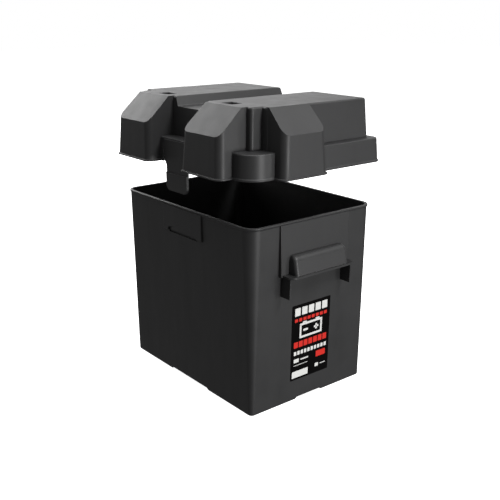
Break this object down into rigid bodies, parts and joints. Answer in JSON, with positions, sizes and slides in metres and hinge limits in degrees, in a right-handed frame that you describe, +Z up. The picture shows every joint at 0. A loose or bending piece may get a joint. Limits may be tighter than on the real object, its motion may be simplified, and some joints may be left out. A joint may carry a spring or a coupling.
{
  "type": "battery box",
  "caption": "Tall moulded plastic battery box: open tub with carrying handles, and a lift-off lid with cable hoods, vents, a strap valley and snap tabs, held open above it.",
  "frame": {"origin": "on the surface that the tub's feet stand on, at the middle of the whole model's length and width", "axes": "+Z up out of the tub; +Y from the labelled short wall to the other short wall; +X away from the long wall that has the hoods above it"},
  "size_m": [0.2476, 0.337, 0.3935],
  "materials": {
    "tub_plastic": "black polypropylene with a fine moulded texture",
    "lid_plastic": "black polypropylene with a fine moulded texture",
    "tab_plastic": "black polypropylene, a little smoother where fingers pull",
    "label_film": "printed film with a semi-gloss face"
  },
  "bodies": {
    "tub": {"tub_shell": "tub_plastic", "front_handle_grip": "tub_plastic", "rear_handle_grip": "tub_plastic", "front_handle_leg_east": "tub_plastic", "front_handle_leg_west": "tub_plastic", "rear_handle_leg_east": "tub_plastic", "rear_handle_leg_west": "tub_plastic", "label": "label_film"},
    "lid": {"lid_skirt": "lid_plastic", "lid_corner_front": "lid_plastic", "lid_corner_rear": "lid_plastic", "lid_latch_bridge": "lid_plastic", "lid_crown_front": "lid_plastic", "lid_crown_rear": "lid_plastic", "strap_bridge": "lid_plastic", "cable_hood_long_front": "lid_plastic", "cable_hood_long_rear": "lid_plastic", "cable_hood_front": "lid_plastic", "cable_hood_rear": "lid_plastic", "vent_louvre_front": "lid_plastic", "vent_louvre_rear": "lid_plastic"},
    "snap_tab_east": {"snap_tab_east": "tab_plastic"},
    "snap_tab_west": {"snap_tab_west": "tab_plastic"}
  },
  "joints": [
    {"name": "lid_lift", "type": "slide", "parent": "tub", "child": "lid", "axis": [0, 0, 1], "range_m": [-0.086, 0.06]},
    {"name": "snap_tab_east_flex", "type": "hinge", "parent": "lid", "child": "snap_tab_east", "pos_m": [0.12095, 0, 0.338], "axis": [0, -1, 0], "range_deg": [-3, 10], "stiffness_Nm_per_rad": 0.6},
    {"name": "snap_tab_west_flex", "type": "hinge", "parent": "lid", "child": "snap_tab_west", "pos_m": [-0.10045, 0, 0.338], "axis": [0, 1, 0], "range_deg": [-3, 10], "stiffness_Nm_per_rad": 0.6}
  ]
}
